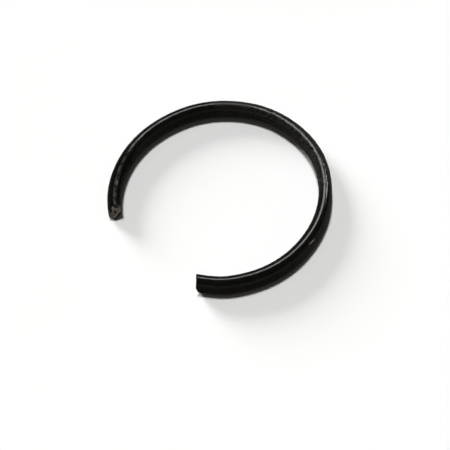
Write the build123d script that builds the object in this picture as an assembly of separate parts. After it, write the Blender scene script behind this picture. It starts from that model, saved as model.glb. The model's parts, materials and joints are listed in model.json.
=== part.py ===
from build123d import *
import math
import os

# An open, C-shaped insulating ring that grips a round fence post. A flattened
# spring-steel strip is bent on edge into most of a circle, and a thin plastic
# jacket covers it everywhere except on its two cut ends.
#
# Frame: +Z is the axis of the ring and of the post. The origin is on that axis,
# at half the height of the strip. The gap between the ends faces -Y.
# Lengths are in millimetres and angles in degrees.

# Driving dimensions
post_diameter = 48.0      # the round post or rail that the ring grips
strip_thickness = 3.2     # jacketed strip, from its inner wall to its outer wall
strip_height = 5.2        # jacketed strip, along the axis of the ring
jacket_wall = 0.3         # plastic around the steel
rolled_edge = 0.2         # radius the shears leave on the jacket's outer edges
gap_angle = 67.2          # open part of the circle, between the two cut ends
left_cut_lean = 7.5       # how far each cut leans away from the axis of the ring:
right_cut_lean = 6.0      # a positive lean leaves the lower edge of the end longer
left_cut_skew = 0.0       # how far each cut turns away from the ring's radius:
right_cut_skew = 11.0     # a positive skew leaves the inner edge of the end longer

# Worked-out dimensions
inner_radius = post_diameter / 2
centre_radius = inner_radius + strip_thickness / 2
core_thickness = strip_thickness - 2 * jacket_wall
core_height = strip_height - 2 * jacket_wall
right_end_angle = -90 + gap_angle / 2
ring_angle = 360 - gap_angle
left_end_angle = right_end_angle + ring_angle

# The strip is first made too long at both ends, then sheared back.
spare_angle = 4.0
shear_block_side = 4 * strip_height
shear_block_depth = 2.5 * math.radians(spare_angle) * centre_radius


def strip_section(thickness, height):
    """Upright oval with full-round edges, standing at the right of the axis."""
    outline = SlotOverall(height, thickness, rotation=90)
    return Plane.XZ * Pos(centre_radius, 0, 0) * outline


def bent_strip(section):
    """Sweep a section round the axis, a little past both ends of the ring."""
    arc = revolve(section, axis=Axis.Z, revolution_arc=ring_angle + 2 * spare_angle)
    return Rot(0, 0, right_end_angle - spare_angle) * arc


def shear_block(end_angle, into_gap, lean, skew):
    """Block that fills the gap from one cut end. into_gap is +1 or -1, the way
    round the circle from the end to the gap."""
    reach = shear_block_depth / 2 * into_gap
    block = Pos(0, reach, 0) * Box(shear_block_side, shear_block_depth, shear_block_side)
    turned = Rot(0, 0, -skew * into_gap) * Rot(lean * into_gap, 0, 0) * block
    return Rot(0, 0, end_angle) * Pos(centre_radius, 0, 0) * turned


def shear_to_length(strip):
    """Cut the spare length off both ends."""
    left_block = shear_block(left_end_angle, 1, left_cut_lean, left_cut_skew)
    right_block = shear_block(right_end_angle, -1, right_cut_lean, right_cut_skew)
    return strip - left_block - right_block


def roll_end_edges(strip):
    """Round the outline of each cut end, where the shears dragged the plastic over."""
    end_faces = strip.faces().filter_by(GeomType.PLANE)
    return fillet(end_faces.edges(), rolled_edge)


def spring_core():
    """Steel strip that keeps the ring's shape and springs it onto the post."""
    return shear_to_length(bent_strip(strip_section(core_thickness, core_height)))


def insulating_jacket():
    """Black plastic sleeve around the strip, open at both cut ends."""
    outside = shear_to_length(bent_strip(strip_section(strip_thickness, strip_height)))
    inside = bent_strip(strip_section(core_thickness, core_height))
    return roll_end_edges(outside) - inside


os.makedirs("parts", exist_ok=True)
nodes = {
    "spring_core": spring_core(),
    "insulating_jacket": insulating_jacket(),
}
for name, shape in nodes.items():
    export_step(shape, f"parts/{name}.step")
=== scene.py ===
import json
import math

import bpy
import numpy as np
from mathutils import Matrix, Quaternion, Vector, noise


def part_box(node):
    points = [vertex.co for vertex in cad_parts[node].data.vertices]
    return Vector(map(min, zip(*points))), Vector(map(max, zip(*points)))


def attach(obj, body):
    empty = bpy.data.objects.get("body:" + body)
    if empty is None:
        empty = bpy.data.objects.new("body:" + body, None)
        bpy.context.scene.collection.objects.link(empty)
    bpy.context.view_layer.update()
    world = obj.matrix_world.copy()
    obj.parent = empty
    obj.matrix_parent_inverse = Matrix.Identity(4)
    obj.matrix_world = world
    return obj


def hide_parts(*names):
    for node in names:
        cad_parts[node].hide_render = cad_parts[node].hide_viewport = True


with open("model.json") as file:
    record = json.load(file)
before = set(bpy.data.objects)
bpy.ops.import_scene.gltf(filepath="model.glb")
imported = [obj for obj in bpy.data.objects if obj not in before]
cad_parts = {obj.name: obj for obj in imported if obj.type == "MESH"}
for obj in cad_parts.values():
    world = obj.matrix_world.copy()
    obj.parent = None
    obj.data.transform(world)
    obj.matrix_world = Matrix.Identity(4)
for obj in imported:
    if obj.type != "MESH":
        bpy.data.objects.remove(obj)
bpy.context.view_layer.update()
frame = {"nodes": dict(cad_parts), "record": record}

MM = 0.001

# ---------------------------------------------------------------------------
# The ring, read from the frame
# ---------------------------------------------------------------------------
post_seat = next(m for m in frame["record"]["mounts"] if m["name"] == "post_seat")
jacket_low, jacket_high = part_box("insulating_jacket")
core_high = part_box("spring_core")[1]

INNER_RADIUS = post_seat["dims"]["r_mm"] * MM
OUTER_RADIUS = jacket_high.x
CENTRE_RADIUS = (INNER_RADIUS + OUTER_RADIUS) / 2
HALF_THICKNESS = (OUTER_RADIUS - INNER_RADIUS) / 2
HALF_HEIGHT = (jacket_high.z - jacket_low.z) / 2
JACKET_WALL = jacket_high.x - core_high.x
FLOOR_HEIGHT = jacket_low.z

# What a hand-bent, sheared ring has beyond its drawing. Angles round the ring are in degrees from
# the middle of the gap, and a (start, end, fade) stretch fades out over fade degrees at both ends.
OVAL_SHARE = 0.009                    # of the radius, longest near the gap and the back
OVAL_AXIS = math.radians(25.4)        # direction of the long axis
WAVES = ((0.04 * MM, 5, 0.7), (0.03 * MM, 9, 2.0))    # (height, waves round a circle, phase)
FOOT_OUT = 0.25 * MM                  # the lower edge stands this far out from the upper edge,
BACK_TWIST = 0.48 * MM                # this much more where the strip is twisted at the back,
LEFT_TWIST = 0.32 * MM                # and this much more where it is twisted near the left cut
BACK_TWISTED, LEFT_TWISTED = (174, 194, 30), (300, 330, 25)
LEFT_TIP, RIGHT_TIP = 2.5 * MM, 8 * MM           # how far from its cut each tip begins to bend in
LEFT_BEND, RIGHT_BEND = 0.03 * MM, 0.46 * MM     # how far each tip is bent in
LEFT_PINCH, RIGHT_PINCH = 0.03, 0.02             # share of the thickness pinched off at the cuts
LOWER_CORNER_DRAG = 0.85 * MM         # lower edge of the right end, drawn back along the strip
LOWER_CORNER_REACH = 2.4 * MM
LOWER_CORNER_UP = (0.4 * MM, -HALF_HEIGHT)       # (height it starts at, height it is full at)
INNER_CORNER_DRAG = 0.75 * MM         # lower inner corner of the left end, drawn back
INNER_CORNER_UP = (0.2 * MM, -1.8 * MM)
INNER_CORNER_ACROSS = (0, -1.2 * MM)
ROLLED_EDGE = 0.2 * MM                # the jacket's outline at a cut, dragged over

# Mesh fineness
LAND_STEPS = 14
ROUND_STEPS = 34
SECTION_POINTS = 2 * (LAND_STEPS + ROUND_STEPS)
FINE_STEP = 0.06 * MM
COARSE_STEP = 0.25 * MM
FINE_AT_RIGHT = 3 * MM
FINE_AT_LEFT = 9 * MM
ROLL_STEPS = 7
INSIDE_STEPS = 100
CORE_SIDE_STEPS = 200
FACE_RINGS = 34

FACING = 0.95                         # least cosine between a cut's normal and the way into the gap
ROOT_STEPS = 4                        # steps that find where a line round the ring meets a cut
SEED_SHIFT = Vector((7.31, 3.17, 5.93))


def angle_of(point):
    """Angle round the ring's axis, counted from the gap (-Y): the right cut comes first, the left last."""
    return math.atan2(point.x, -point.y) % (2 * math.pi)


def flat_end(side):
    """(point, outward normal) of the core's flat end at the right (side 1) or the left (side -1)."""
    point, normal, area = Vector(), Vector(), 0.0
    for face in frame["nodes"]["spring_core"].data.polygons:
        to_gap = Vector((face.center.y, -face.center.x, 0)).normalized() * side
        on_side = face.center.x * side > 0 and face.center.y < 0
        if on_side and face.normal.dot(to_gap) > FACING:
            point += face.center * face.area
            normal += face.normal * face.area
            area += face.area
    return point / area, normal.normalized()


def cut_angles(cut, radii, heights):
    """Angles at which lines round the ring, at these radii and heights, meet a cut's plane."""
    point, normal = cut
    angles = np.full(len(radii), angle_of(point))
    for _ in range(ROOT_STEPS):
        here = np.stack([radii * np.sin(angles), -radii * np.cos(angles), heights], -1)
        along = np.stack([radii * np.cos(angles), radii * np.sin(angles), 0 * radii], -1)
        angles -= ((here - np.array(point)) @ np.array(normal)) / (along @ np.array(normal))
    return angles


RIGHT_CUT, LEFT_CUT = flat_end(1), flat_end(-1)
RIGHT_ANGLE, LEFT_ANGLE = angle_of(RIGHT_CUT[0]), angle_of(LEFT_CUT[0])
STRIP_LENGTH = (LEFT_ANGLE - RIGHT_ANGLE) * CENTRE_RADIUS


# ---------------------------------------------------------------------------
# The strip: every surface is a grid of section points by path nodes
# ---------------------------------------------------------------------------
def section(half_thickness, half_height):
    """(points, normals) round an upright oval with full-round edges, from the outer side up."""
    land = half_height - half_thickness
    rise = np.linspace(-land, land, LAND_STEPS, endpoint=False)
    turn = np.linspace(0, math.pi, ROUND_STEPS, endpoint=False)
    turns = np.concatenate([0 * rise, turn, 0 * rise + math.pi, turn + math.pi])
    bases = np.concatenate([rise, 0 * turn + land, -rise, 0 * turn - land])
    normals = np.stack([np.cos(turns), np.sin(turns)], -1)
    points = normals * half_thickness
    points[:, 1] += bases
    return points, normals


def ramp(value, start, end):
    """0 up to start and 1 past end, with a smooth rise between. end may be the lower of the two."""
    t = np.clip((value - start) / (end - start), 0, 1)
    return t * t * (3 - 2 * t)


def stretch(degrees, start, end, fade):
    """1 between two angles round the ring, in degrees from the gap, fading to 0 outside them."""
    return ramp(degrees, start - fade, start) * ramp(degrees, end + fade, end)


def tips_bent(across, up, along):
    """Section points and distances near the cuts, drawn in and dragged as the shears leave them."""
    at_left = ramp(STRIP_LENGTH - along, LEFT_TIP, 0)
    at_right = ramp(along, RIGHT_TIP, 0)
    lower_corner = ramp(up, *LOWER_CORNER_UP) * ramp(along, LOWER_CORNER_REACH, 0)
    inner_corner = ramp(across, *INNER_CORNER_ACROSS) * ramp(up, *INNER_CORNER_UP) * at_left
    across = across * (1 - LEFT_PINCH * at_left - RIGHT_PINCH * at_right)
    across = across - LEFT_BEND * at_left - RIGHT_BEND * at_right
    return across, up, along + LOWER_CORNER_DRAG * lower_corner - INNER_CORNER_DRAG * inner_corner


def foot_out(angles):
    """How far the strip's lower edge stands out from its upper edge, where the bending twisted it."""
    degrees = np.degrees(angles)
    twist = BACK_TWIST * stretch(degrees, *BACK_TWISTED) + LEFT_TWIST * stretch(degrees, *LEFT_TWISTED)
    return FOOT_OUT + twist


def place(across, up, along, ends):
    """Points of a grid, in the ring's frame. across and up are from the strip's centre line, along is
    the distance from the right cut, and ends is each section point's angles at the two cuts."""
    across, up, along = tips_bent(across, up, along)
    angles = ends[0] + (ends[1] - ends[0]) * along / STRIP_LENGTH
    wave = sum(height * np.sin(count * angles + phase) for height, count, phase in WAVES)
    lean = foot_out(angles) * (0.5 - up / (2 * HALF_HEIGHT))
    radius = CENTRE_RADIUS * (1 + OVAL_SHARE * np.cos(2 * (angles - OVAL_AXIS))) + across + wave + lean
    return np.stack(np.broadcast_arrays(radius * np.sin(angles), -radius * np.cos(angles), up), -1)


def section_ends(points):
    """Each section point's angle at the right and the left cut, as two columns of a grid."""
    radii, heights = CENTRE_RADIUS + points[:, 0], points[:, 1]
    return [cut_angles(cut, radii, heights)[:, None] for cut in (RIGHT_CUT, LEFT_CUT)]


def noise_at(points, scale, seed):
    """Smooth noise between -1 and 1 at each point, with features about scale across."""
    shift = seed * SEED_SHIFT
    return np.array([noise.noise(Vector(p) / scale + shift) for p in points])


def grid_faces(rows, columns, closed):
    """Quads of a grid whose rows close into a loop, and whose columns do if closed is true. They face
    out when the rows run up the outer side and the columns run from the right cut to the left."""
    faces = []
    for i in range(rows):
        row, after = i * columns, (i + 1) % rows * columns
        for j in range(columns if closed else columns - 1):
            following = (j + 1) % columns
            faces.append((row + j, row + following, after + following, after + j))
    return faces


def grid_object(name, points, faces, material, node, attributes):
    """Mesh piece that stands for a CAD node and rides on the root body."""
    mesh = bpy.data.meshes.new(name)
    mesh.from_pydata(points.reshape(-1, 3).tolist(), [], faces)
    mesh.shade_smooth()
    for title, values in attributes.items():
        layer = mesh.attributes.new(title, "FLOAT", "POINT")
        layer.data.foreach_set("value", values.astype(np.float32).ravel())
    mesh.materials.append(material)
    piece = bpy.data.objects.new(name, mesh)
    bpy.context.scene.collection.objects.link(piece)
    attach(piece, "root")
    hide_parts(node)


# ---------------------------------------------------------------------------
# Insulating jacket: out along the strip, round the left rim, back inside, round the right rim
# ---------------------------------------------------------------------------
WORN, SMUDGED, HANDLED = (140, 204, 14), (212, 226, 7), (294, 330, 16)
PATCHES = (232, 290, 10), (33, 84, 12)
PATCH_STRENGTH = 0.6
CREST_UP = (0.8 * MM, 1.6 * MM)       # only the strip's upper edge is worn and dented

# Short marks, in millimetres: the nick is a scratch; the glint, on a raised bead, and the streak are
# painted highlights.
# side is the place round the section, from the middle of the outer wall up and over, and slant tips the
# mark off the strip's line, in radians.
STREAK = {"degrees": 311.3, "side": 4.1, "slant": 0.0, "half_width": 0.16, "half_length": 0.70}
NICK = {"degrees": 312.41, "side": 5.5, "slant": -0.99, "half_width": 0.09, "half_length": 0.75}
GLINT = {"degrees": 98.9, "side": 1.9, "slant": -0.18, "half_width": 0.13, "half_length": 0.80}
GLINT_RISE, NICK_DEPTH = 0.05 * MM, 0.05 * MM
STREAK_SHOWN, NICK_SHOWN = 0.5, 0.14  # share of the pale colour each gets beside the glint: painted highlight on the streak, pale plastic in the nick

GRAIN_HEIGHT = 0.005 * MM
GRAIN_SIZE, COARSE_GRAIN_SIZE = 0.45 * MM, 1.1 * MM
COARSE_GRAIN_SHARE = 0.6
WORN_GRAIN_GAIN = 1.5
DENT_SIZE = 0.27 * MM
DENT_SHORTENING = 0.45                # distances along the strip are shortened, so dents are drawn out
WORN_DENT_DEPTH, PATCH_DENT_DEPTH = 0.034 * MM, 0.022 * MM


def jacket_path():
    """(distance from the right cut, depth below the outer surface) of each path node."""
    coarse_end = STRIP_LENGTH - FINE_AT_LEFT
    outside = np.concatenate([
        np.arange(ROLLED_EDGE, FINE_AT_RIGHT, FINE_STEP),
        np.arange(FINE_AT_RIGHT, coarse_end, COARSE_STEP),
        np.arange(coarse_end, STRIP_LENGTH - ROLLED_EDGE, FINE_STEP),
    ])
    roll = np.linspace(0, math.pi / 2, ROLL_STEPS)
    roll_along = ROLLED_EDGE * (1 - np.sin(roll))
    roll_depth = ROLLED_EDGE * (1 - np.cos(roll))
    rim_depth = np.linspace(ROLLED_EDGE, JACKET_WALL, 4)[1:]
    inside = np.linspace(STRIP_LENGTH, 0, INSIDE_STEPS)[1:-1]
    along = np.concatenate([
        outside, STRIP_LENGTH - roll_along, 0 * rim_depth + STRIP_LENGTH, inside,
        0 * rim_depth, roll_along[:0:-1]])
    depth = np.concatenate([
        0 * outside, roll_depth, rim_depth, 0 * inside + JACKET_WALL,
        rim_depth[::-1], roll_depth[:0:-1]])
    return along, depth


def side_of(points):
    """Each section point's place round the section, from the middle of the outer wall up and over."""
    step = np.linalg.norm(np.diff(points, axis=0, append=points[:1]), axis=1)
    return (np.cumsum(step) - step - HALF_HEIGHT + HALF_THICKNESS)[:, None]


def scratch_and_glint_mark(points, along, degrees, side, slant, half_width, half_length):
    """1 in the middle of one short mark, 0 away from it. The marks are the nick and two painted highlights,
    the glint and the streak. Its sizes are in millimetres.
    """
    centre = (math.radians(degrees) - RIGHT_ANGLE) * CENTRE_RADIUS
    past_side, past_centre = side_of(points) / MM - side, (along[None, :] - centre) / MM
    over = past_side * math.cos(slant) - past_centre * math.sin(slant)
    down = past_side * math.sin(slant) + past_centre * math.cos(slant)
    return np.exp(-(over / half_width) ** 2) * ramp(np.abs(down), 1.5 * half_length, 0.5 * half_length)


def jacket_relief(points, along, shown, worn, dented):
    """Height of the grain and the dents at the points of the outside."""
    flat = shown.reshape(-1, 3)
    grain = noise_at(flat, GRAIN_SIZE, 1) + COARSE_GRAIN_SHARE * noise_at(flat, COARSE_GRAIN_SIZE, 2)
    unrolled = np.stack(np.broadcast_arrays(side_of(points), DENT_SHORTENING * along[None, :], 0), -1)
    dents = noise_at(unrolled.reshape(-1, 3), DENT_SIZE, 5)
    grain, dents = grain.reshape(SECTION_POINTS, -1), dents.reshape(SECTION_POINTS, -1)
    dent_depth = WORN_DENT_DEPTH * worn + PATCH_DENT_DEPTH * dented
    return grain * GRAIN_HEIGHT * (1 + WORN_GRAIN_GAIN * worn) + dents * dent_depth


def jacket_piece(material):
    """Plastic sleeve, as one closed surface, with its grain, dents, sunk nick and raised glint bead on the
    outside.
    """
    points, normals = section(HALF_THICKNESS, HALF_HEIGHT)
    along, depth = jacket_path()
    across = points[:, :1] - normals[:, :1] * depth
    up = points[:, 1:] - normals[:, 1:] * depth
    ends = section_ends(points)
    grid = place(across, up, along[None, :], ends)
    degrees = np.degrees(RIGHT_ANGLE + along / CENTRE_RADIUS)[None, :] + 0 * across

    crest = ramp(points[:, 1:], *CREST_UP)
    worn = stretch(degrees, *WORN) * crest
    patchy = PATCH_STRENGTH * np.maximum(stretch(degrees, *PATCHES[0]), stretch(degrees, *PATCHES[1]))
    streak, nick, glint = (scratch_and_glint_mark(points, along, **shape) for shape in (STREAK, NICK, GLINT))

    outside = depth == 0
    centre_line = place(points[:, :1] * 0.5, points[:, 1:] * 0.5, along[None, :], ends)
    outward = (grid - centre_line)[:, outside]
    outward /= np.linalg.norm(outward, axis=-1, keepdims=True)
    height = jacket_relief(
        points, along[outside], grid[:, outside], worn[:, outside], (patchy * crest)[:, outside])
    height += (GLINT_RISE * glint - NICK_DEPTH * nick)[:, outside]
    grid[:, outside] += outward * height[:, :, None]

    faces = grid_faces(SECTION_POINTS, len(along), True)
    attributes = {
        "worn": worn, "smudge": stretch(degrees, *SMUDGED), "handled": stretch(degrees, *HANDLED),
        "patchy": patchy, "scratch_and_glint_mark": NICK_SHOWN * nick + glint + STREAK_SHOWN * streak}
    grid_object("insulating_jacket_shell", grid, faces, material,
                "insulating_jacket", attributes)


# ---------------------------------------------------------------------------
# Spring core: a long tube of hidden sides, closed by two rough sheared faces
# ---------------------------------------------------------------------------
# Marks on a cut face, as (across, up) from its middle
TEAR_START, TEAR_END = np.array([-1.0, 0.08]) * MM, np.array([0.38, -1.43]) * MM
TEAR_HALF_WIDTH = 0.16 * MM
TEAR_TAPER = 0.12                     # share of its length
# The glint spot is a painted highlight on the face's top edge.
GLINT_SPOT, GLINT_RADII = np.array([0.42, 1.85]) * MM, np.array([0.36, 0.42]) * MM
PIT_SPOT, PIT_RADII = np.array([-0.15, 0.05]) * MM, np.array([0.34, 0.26]) * MM
CORNER_SMEAR = 0.78                   # how much of the steel the smeared plastic and painted shade at the lower inner corner hide
TEAR_RISE, PIT_DEPTH, SMEAR_DEPTH = 0.09 * MM, 0.20 * MM, 0.07 * MM
SMEAR_EDGE = 0.14 * MM                # over which the smeared plastic and painted shade end
CORNER_SMEAR_FROM = 0.32 * MM         # beyond the tear's line
TOP_SMEAR_FROM, OUTER_SMEAR_FROM = 1.40 * MM, 0.68 * MM
OUTER_SMEAR_UP, STAIN_DOWN = (-0.1 * MM, 0.3 * MM), (0.1 * MM, -0.4 * MM)
# Roughness of a cut face, as (height, size of its features)
LUMPS, PITTING, TEARS = (0.05 * MM, 0.55 * MM), (0.035 * MM, 0.25 * MM), (0.025 * MM, 0.12 * MM)
RAGGED_EDGES = (0.10 * MM, 0.35 * MM)
TEARS_ALONG = np.array([1.0, 0.25, 1.0])    # draws the fine tears out up and down the face
SMOOTH_RIM = 0.12                     # outer share of a cut face where its roughness fades
CROWN_RIM = 0.35                      # outer share of a cut face where it bulges or sinks

# Steel dragged over the jacket's rim at the left cut, on its inner side and low on its outer side:
# (direction, part of that direction where it starts, part where it is full, reach)
BURRS = (
    (np.array([-0.95, 0.30]), 0.2, 0.7, 0.45 * MM),
    (np.array([0.70, -0.70]), 0.3, 0.8, 0.17 * MM),
)
BURR_RIM = 0.3                        # outer share of the cut face that is dragged


def core_path():
    """(distance from the right cut, share of the section's size) of each path node."""
    shrink = np.linspace(0.02, 1, FACE_RINGS)
    sides = np.linspace(0, STRIP_LENGTH, CORE_SIDE_STEPS)
    along = np.concatenate([0 * shrink, sides, 0 * shrink + STRIP_LENGTH])
    share = np.concatenate([shrink, 0 * sides + 1, shrink[::-1]])
    return along, share


def across_line(flat, start, end):
    """Each point's distance to the lower inner side of a line, and its share of the way along it."""
    span = end - start
    length = np.linalg.norm(span)
    away = flat - start
    return (away[:, 0] * span[1] - away[:, 1] * span[0]) / length, away @ span / length ** 2


def spot(flat, centre, radii):
    """1 at the centre of a soft oval spot, 0 away from it."""
    return np.exp(-(((flat - centre) / radii) ** 2).sum(1))


def roughness(points, shape, seed):
    """Heights of noise with this (height, size of its features)."""
    return shape[0] * noise_at(points, shape[1], seed)


def smeared_and_shaded(distance, start):
    """1 where smeared plastic and painted shade cover the steel, past a start, and 0 where the steel is
    bare.
    """
    return ramp(distance, start, start + SMEAR_EDGE)


def sheared_face(flat, seed):
    """Height of a sheared end over its flat plane, and its marks: the pit, darkened with painted shade, the
    bright torn streak and the glint, a painted highlight, the plastic smeared over three of its sides,
    darkened also with painted shade, and the brown stain on its lower half.
    flat holds (across, up) pairs in metres."""
    across, up = flat[:, 0], flat[:, 1]
    points = np.concatenate([flat, 0 * flat[:, :1]], 1)
    coarse = roughness(points, LUMPS, seed) + roughness(points, PITTING, seed + 1)
    fine = roughness(points * TEARS_ALONG, TEARS, seed + 2)
    ragged = roughness(points, RAGGED_EDGES, seed + 3)

    side, share = across_line(flat, TEAR_START, TEAR_END)
    within = ramp(share, 0, TEAR_TAPER) * ramp(share, 1, 1 - TEAR_TAPER)
    streak = np.exp(-((side + 0.3 * ragged) / TEAR_HALF_WIDTH) ** 2) * within
    streak = np.maximum(streak, spot(flat, GLINT_SPOT, GLINT_RADII))
    pit = spot(flat, PIT_SPOT, PIT_RADII)

    # the smears are plastic dragged over the steel, darkened also as painted shade along the face's rims
    corner = CORNER_SMEAR * smeared_and_shaded(side + 0.5 * ragged, CORNER_SMEAR_FROM)
    top = smeared_and_shaded(up + ragged, TOP_SMEAR_FROM)
    outer = smeared_and_shaded(across + ragged, OUTER_SMEAR_FROM) * ramp(up, *OUTER_SMEAR_UP)
    smear_and_shade = np.maximum(corner, np.maximum(top, outer)) * (1 - streak)
    height = coarse + fine - PIT_DEPTH * pit + TEAR_RISE * streak - SMEAR_DEPTH * smear_and_shade
    return height, {"pit": pit, "streak": streak, "smear_and_shade": smear_and_shade, "stain": ramp(up, *STAIN_DOWN)}


def core_piece(material):
    """Steel strip with two rough ends. At the left one a burr is dragged over the jacket's rim."""
    points, normals = section(HALF_THICKNESS - JACKET_WALL, HALF_HEIGHT - JACKET_WALL)
    along, share = core_path()
    across, up = points[:, :1] * share, points[:, 1:] * share
    grid = place(across, up, along[None, :], section_ends(points))
    marks = {title: 0 * across for title in ("pit", "streak", "smear_and_shade", "stain")}

    right_face, left_face = slice(0, FACE_RINGS), slice(len(along) - FACE_RINGS, len(along))
    for columns, cut, seed, rim, crown in (
            (right_face, RIGHT_CUT, 3, -0.05 * MM, -0.15 * MM),
            (left_face, LEFT_CUT, 8, 0.02 * MM, 0.05 * MM)):
        flat = np.stack([across[:, columns].ravel(), up[:, columns].ravel()], -1)
        height, shown = sheared_face(flat, seed)
        inward = (1 - share[columns])[None, :]
        height = height.reshape(SECTION_POINTS, -1) * ramp(inward, 0, SMOOTH_RIM)
        height = height + rim + crown * ramp(inward, 0, CROWN_RIM)
        grid[:, columns] += height[:, :, None] * np.array(cut[1])
        for title, values in shown.items():
            marks[title][:, columns] = values.reshape(SECTION_POINTS, -1)

    burr = sum(reach * ramp(normals @ towards, start, full) for towards, start, full, reach in BURRS)
    spread = burr[:, None] * ramp((1 - share[left_face])[None, :], BURR_RIM, 0)
    from_axis = np.array([LEFT_CUT[1].y, -LEFT_CUT[1].x, 0])
    dragged = normals[:, :1] * from_axis + normals[:, 1:] * np.array([0, 0, 1])
    grid[:, left_face] += spread[:, :, None] * dragged[:, None, :]

    columns = len(along)
    faces = grid_faces(SECTION_POINTS, columns, False)
    faces.append(tuple(i * columns for i in range(SECTION_POINTS)))
    faces.append(tuple(i * columns + columns - 1 for i in reversed(range(SECTION_POINTS))))
    grid_object("spring_core_strip", grid, faces, material, "spring_core", marks)


# ---------------------------------------------------------------------------
# Materials
# ---------------------------------------------------------------------------
class Graph:
    """Short calls that build one material's node tree. Texture positions are in millimetres."""

    def __init__(self, name):
        self.material = bpy.data.materials.new(name)
        self.material.use_nodes = True
        self.tree = self.material.node_tree
        self.shader = self.tree.nodes["Principled BSDF"]
        geometry = self.tree.nodes.new("ShaderNodeNewGeometry")
        self.position = self.stretched(geometry.outputs["Position"], (1 / MM, 1 / MM, 1 / MM))

    def link(self, source, socket):
        """Join an output to a socket, or set the socket to a plain value."""
        if isinstance(source, (int, float, tuple)):
            socket.default_value = source
            return
        self.tree.links.new(source, socket)

    def stretched(self, vector, factors):
        node = self.tree.nodes.new("ShaderNodeVectorMath")
        node.operation = "MULTIPLY"
        self.link(vector, node.inputs[0])
        self.link(factors, node.inputs[1])
        return node.outputs["Vector"]

    def maths(self, operation, first, second):
        node = self.tree.nodes.new("ShaderNodeMath")
        node.operation = operation
        self.link(first, node.inputs[0])
        self.link(second, node.inputs[1])
        return node.outputs["Value"]

    def plus(self, first, second):
        return self.maths("ADD", first, second)

    def minus(self, first, second):
        return self.maths("SUBTRACT", first, second)

    def times(self, first, second):
        return self.maths("MULTIPLY", first, second)

    def attribute(self, name):
        node = self.tree.nodes.new("ShaderNodeAttribute")
        node.attribute_name = name
        return node.outputs["Fac"]

    def noise(self, size, detail, factors=(1, 1, 1)):
        """Noise with features about size millimetres across, drawn out where a factor is below 1."""
        node = self.tree.nodes.new("ShaderNodeTexNoise")
        node.inputs["Scale"].default_value = 1 / size
        node.inputs["Detail"].default_value = detail
        self.link(self.stretched(self.position, factors), node.inputs["Vector"])
        return node.outputs["Fac"]

    def levels(self, value, low, high, to_low=0.0, to_high=1.0):
        """The value, moved from the range low to high to the range to_low to to_high."""
        node = self.tree.nodes.new("ShaderNodeMapRange")
        limits = {"From Min": low, "From Max": high, "To Min": to_low, "To Max": to_high}
        for title, number in limits.items():
            node.inputs[title].default_value = number
        self.link(value, node.inputs["Value"])
        return node.outputs["Result"]

    def mix(self, share, first, second):
        node = self.tree.nodes.new("ShaderNodeMix")
        node.data_type = "RGBA"
        self.link(share, node.inputs["Factor"])
        self.link(first, node.inputs[6])
        self.link(second, node.inputs[7])
        return node.outputs[2]

    def bump(self, height, depth, under=None):
        """Bump of a 0 to 1 height, depth metres deep, on top of another bump if there is one."""
        node = self.tree.nodes.new("ShaderNodeBump")
        self.link(depth, node.inputs["Distance"])
        self.link(height, node.inputs["Height"])
        if under is not None:
            self.link(under, node.inputs["Normal"])
        return node.outputs["Normal"]

    def finish(self, **sockets):
        for title, source in sockets.items():
            self.link(source, self.shader.inputs[title.replace("_", " ")])
        return self.material


def jacket_material():
    """Glossy black plastic: fine grain, faint clouding, a grainy worn stretch whose grey is partly painted
    sheen, a smudge, patchy stretches, a dull handled stretch by the left cut, a pale nick, and a glint and
    a streak painted in as highlights."""
    black, clouded_black = (0.0018, 0.0017, 0.0014, 1), (0.0034, 0.0032, 0.0027, 1)
    worn_grey_and_sheen, smudge_brown = (0.026, 0.025, 0.022, 1), (0.012, 0.011, 0.008, 1)
    scratch_and_glint_grey = (0.26, 0.25, 0.22, 1)

    g = Graph("glossy_black_plastic")
    worn, smudge, handled = g.attribute("worn"), g.attribute("smudge"), g.attribute("handled")
    patchy, scratched_and_glinting = g.attribute("patchy"), g.attribute("scratch_and_glint_mark")
    cloud = g.noise(3.0, detail=3)
    patch = g.noise(1.4, detail=2)
    grain = g.noise(0.75, detail=2)
    fine = g.noise(0.12, detail=2)

    colour = g.mix(g.levels(cloud, 0.35, 0.65), black, clouded_black)
    # the worn stretch's grey is partly scuffed plastic and partly painted sheen beside the crest highlight
    colour = g.mix(g.times(worn, g.levels(grain, 0.45, 0.62, 0.15, 0.8)), colour, worn_grey_and_sheen)
    colour = g.mix(g.times(smudge, 0.5), colour, smudge_brown)
    # painted highlights: the glint and the streak get the pale colour, along with the nick's pale scratched
    # plastic
    colour = g.mix(scratched_and_glinting, colour, scratch_and_glint_grey)

    rough = g.levels(cloud, 0.3, 0.7, 0.09, 0.14)
    rough = g.plus(rough, g.times(worn, g.levels(fine, 0.3, 0.7, 0.02, 0.10)))
    rough = g.plus(rough, g.times(smudge, 0.26))
    rough = g.plus(rough, g.times(handled, g.levels(patch, 0.35, 0.65, 0.10, 0.22)))
    rough = g.plus(rough, g.times(patchy, g.levels(patch, 0.45, 0.60, 0.0, 0.24)))

    pebble = g.bump(grain, g.plus(0.003 * MM, g.times(worn, 0.05 * MM)))
    ripple = g.bump(patch, g.times(patchy, 0.06 * MM), pebble)
    grit = g.bump(fine, g.times(worn, 0.004 * MM), ripple)
    gloss = g.minus(0.5, g.times(handled, g.levels(patch, 0.40, 0.60, 0.34, 0.44)))
    return g.finish(Base_Color=colour, Roughness=rough, Normal=grit, IOR=1.5, Specular_IOR_Level=gloss)


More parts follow.
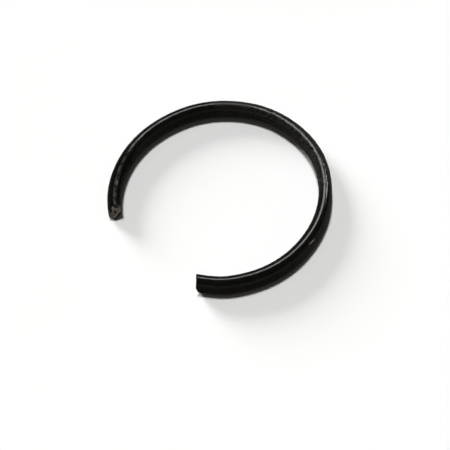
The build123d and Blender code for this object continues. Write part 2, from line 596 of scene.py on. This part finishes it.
def core_material():
    """Rough sheared steel: grey-beige, stained brown below, with a pit darkened by painted shade, a bright
    torn streak with a painted glint, and black plastic smeared over its edges, darkened also with painted
    shade."""
    dark_steel, pale_steel = (0.16, 0.155, 0.135, 1), (0.27, 0.26, 0.235, 1)
    brown_stain, torn_steel = (0.150, 0.115, 0.085, 1), (0.38, 0.36, 0.31, 1)
    pit_shade_brown, bright_steel_and_glint = (0.020, 0.014, 0.008, 1), (0.50, 0.46, 0.37, 1)
    smeared_plastic_and_shade = (0.012, 0.010, 0.007, 1)

    g = Graph("sheared_steel")
    mottle = g.noise(0.45, detail=4)
    tears = g.noise(0.12, detail=3, factors=(1, 1, 0.3))
    colour = g.mix(g.levels(mottle, 0.35, 0.65), dark_steel, pale_steel)
    colour = g.mix(g.times(g.attribute("stain"), 0.7), colour, brown_stain)
    colour = g.mix(g.levels(tears, 0.55, 0.75, 0.0, 0.5), colour, torn_steel)
    # painted shade darkens the pit
    colour = g.mix(g.times(g.attribute("pit"), 0.95), colour, pit_shade_brown)
    # the torn streak is pale steel; the glint spot on it is a painted highlight
    colour = g.mix(g.times(g.attribute("streak"), 0.9), colour, bright_steel_and_glint)
    # smeared plastic, with painted shade along the face's edges
    colour = g.mix(g.attribute("smear_and_shade"), colour, smeared_plastic_and_shade)
    rough = g.levels(tears, 0.3, 0.7, 0.42, 0.62)
    return g.finish(Base_Color=colour, Metallic=0.4, Roughness=rough, Normal=g.bump(tears, 0.02 * MM))


FLOOR_TONE = 0.87
FLOOR_UNEVENNESS = 0.01


def floor_material():
    """Plain pale floor with the faintest unevenness of tone."""
    g = Graph("pale_floor")
    darkest = (FLOOR_TONE - FLOOR_UNEVENNESS,) * 3 + (1,)
    palest = (FLOOR_TONE + FLOOR_UNEVENNESS,) * 3 + (1,)
    return g.finish(Base_Color=g.mix(g.noise(40.0, detail=2), darkest, palest), Roughness=0.9)


# ---------------------------------------------------------------------------
# Floor, light and camera
# ---------------------------------------------------------------------------
FLOOR_SIDE = 4.0
SOFTBOX_DISTANCE = 0.60

DIM = (0.052, 0.050, 0.043, 1)
PALE = (0.21, 0.205, 0.185, 1)
WHITE = (1, 1, 1, 1)
# Where the surroundings are dim, pale and dim again, from 0 straight down to 1 straight up
DIM_BELOW, PALE_AT, DIM_ABOVE = 0.10, 0.42, 0.75

VIEW_AZIMUTH = 50.93
VIEW_ELEVATION = 57.13
VIEW_ROLL = 6.0
VIEW_DISTANCE = 10 * CENTRE_RADIUS
SENSOR_WIDTH = 36.0
LENS_PER_SENSOR = 2.348
AIM_RIGHT = 0.050 * CENTRE_RADIUS
AIM_UP = -0.303 * CENTRE_RADIUS


def direction(azimuth, elevation):
    """Unit vector towards a place at this azimuth (0 is -Y, 90 is +X) and elevation, in degrees."""
    a, e = math.radians(azimuth), math.radians(elevation)
    return Vector((math.sin(a) * math.cos(e), -math.cos(a) * math.cos(e), math.sin(e)))


def add_floor():
    """Floor under the ring. It doesn't show in the gloss."""
    bpy.ops.mesh.primitive_plane_add(size=FLOOR_SIDE, location=(0, 0, FLOOR_HEIGHT))
    floor = bpy.context.object
    floor.name = "floor"
    floor.data.materials.append(floor_material())
    floor.visible_glossy = False


def add_lamp(name, kind, azimuth, elevation, distance):
    """Lamp that shines on the ring from this direction. Azimuths are counted from the camera's."""
    data = bpy.data.lights.new(name, kind)
    lamp = bpy.data.objects.new(name, data)
    towards = direction(VIEW_AZIMUTH + azimuth, elevation)
    lamp.location = towards * distance
    lamp.rotation_mode = "QUATERNION"
    lamp.rotation_quaternion = towards.to_track_quat("Z", "Y")
    bpy.context.scene.collection.objects.link(lamp)
    return lamp


def add_floor_light(name, azimuth, elevation, softness, floor_share):
    """Distant soft light, softness degrees across, that gives the floor this share of white.
    It doesn't show in the gloss."""
    lamp = add_lamp(name, "SUN", azimuth, elevation, 1.0)
    lamp.data.angle = math.radians(softness)
    lamp.data.energy = floor_share * math.pi / (FLOOR_TONE * math.sin(math.radians(elevation)))
    lamp.visible_glossy = False


def add_reflected_light(name, azimuth, elevation, width, height, brightness):
    """Softbox that only shows in the gloss, as a highlight of this brightness."""
    lamp = add_lamp(name, "AREA", azimuth, elevation, SOFTBOX_DISTANCE)
    lamp.data.shape = "RECTANGLE"
    lamp.data.size, lamp.data.size_y = width, height
    lamp.data.energy = brightness * math.pi * width * height
    lamp.visible_diffuse = False


def add_world():
    """Dim, faintly olive surroundings, paler round the horizon, which the camera itself sees as white."""
    world = bpy.data.worlds.new("surroundings")
    world.use_nodes = True
    nodes, links = world.node_tree.nodes, world.node_tree.links
    towards = nodes.new("ShaderNodeTexCoord")
    split = nodes.new("ShaderNodeSeparateXYZ")
    height = nodes.new("ShaderNodeMapRange")
    height.inputs["From Min"].default_value = -1.0
    band = nodes.new("ShaderNodeValToRGB")
    band.color_ramp.interpolation = "EASE"
    for stop, place_up in zip(band.color_ramp.elements, (DIM_BELOW, DIM_ABOVE)):
        stop.position = place_up
        stop.color = DIM
    band.color_ramp.elements.new(PALE_AT).color = PALE
    rays = nodes.new("ShaderNodeLightPath")
    tone = nodes.new("ShaderNodeMix")
    tone.data_type = "RGBA"
    tone.inputs[7].default_value = WHITE
    links.new(towards.outputs["Generated"], split.inputs["Vector"])
    links.new(split.outputs["Z"], height.inputs["Value"])
    links.new(height.outputs["Result"], band.inputs["Fac"])
    links.new(rays.outputs["Is Camera Ray"], tone.inputs["Factor"])
    links.new(band.outputs["Color"], tone.inputs[6])
    links.new(tone.outputs[2], nodes["Background"].inputs["Color"])
    bpy.context.scene.world = world


def add_camera():
    """Camera at the photo's viewing angle."""
    back = direction(VIEW_AZIMUTH, VIEW_ELEVATION)
    data = bpy.data.cameras.new("camera")
    data.sensor_width = SENSOR_WIDTH
    data.lens = LENS_PER_SENSOR * SENSOR_WIDTH
    data.clip_start, data.clip_end = 0.01, 10.0
    camera = bpy.data.objects.new("camera", data)
    roll = Quaternion((0, 0, 1), -math.radians(VIEW_ROLL))
    turn = (-back).to_track_quat("-Z", "Y") @ roll
    aim = turn @ Vector((AIM_RIGHT, AIM_UP, 0))
    camera.location = aim + back * VIEW_DISTANCE
    camera.rotation_mode = "QUATERNION"
    camera.rotation_quaternion = turn
    bpy.context.scene.collection.objects.link(camera)
    bpy.context.scene.camera = camera


jacket_piece(jacket_material())
core_piece(core_material())
add_floor()
add_world()
add_floor_light("overhead_light", azimuth=-168, elevation=80.5, softness=9, floor_share=0.64)
add_floor_light("low_light", azimuth=-144, elevation=21.5, softness=26, floor_share=0.33)
add_reflected_light("crest_light", azimuth=180, elevation=57, width=0.28, height=0.19, brightness=4.8)
add_reflected_light("shoulder_light", azimuth=133.2, elevation=43, width=0.09, height=0.09, brightness=14.0)
add_camera()
bpy.context.scene.view_settings.view_transform = "Standard"
